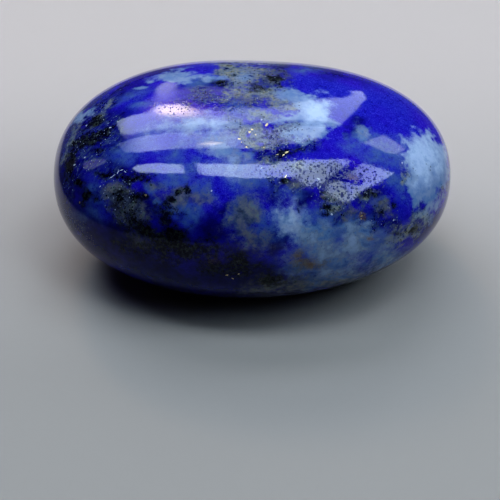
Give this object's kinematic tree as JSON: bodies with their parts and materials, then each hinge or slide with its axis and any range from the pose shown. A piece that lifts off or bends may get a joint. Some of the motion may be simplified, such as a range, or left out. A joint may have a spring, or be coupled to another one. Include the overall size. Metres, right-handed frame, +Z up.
{
  "type": "tumbled lapis lazuli stone",
  "caption": "Smooth oval pebble of polished lapis lazuli that rests on a small flat spot. Deep blue, with cloudy white, grey-green and black patches and fine gold flecks.",
  "frame": {"origin": "on the surface that the stone rests on, under the middle of its outline", "axes": "+X along the stone's length, +Y across its width, away from the viewer of the picture, +Z up from the surface it rests on"},
  "size_m": [0.025, 0.0172, 0.0122],
  "materials": {
    "lapis": "polished"
  },
  "bodies": {
    "root": {"lapis_stone": "lapis"}
  },
  "joints": []
}
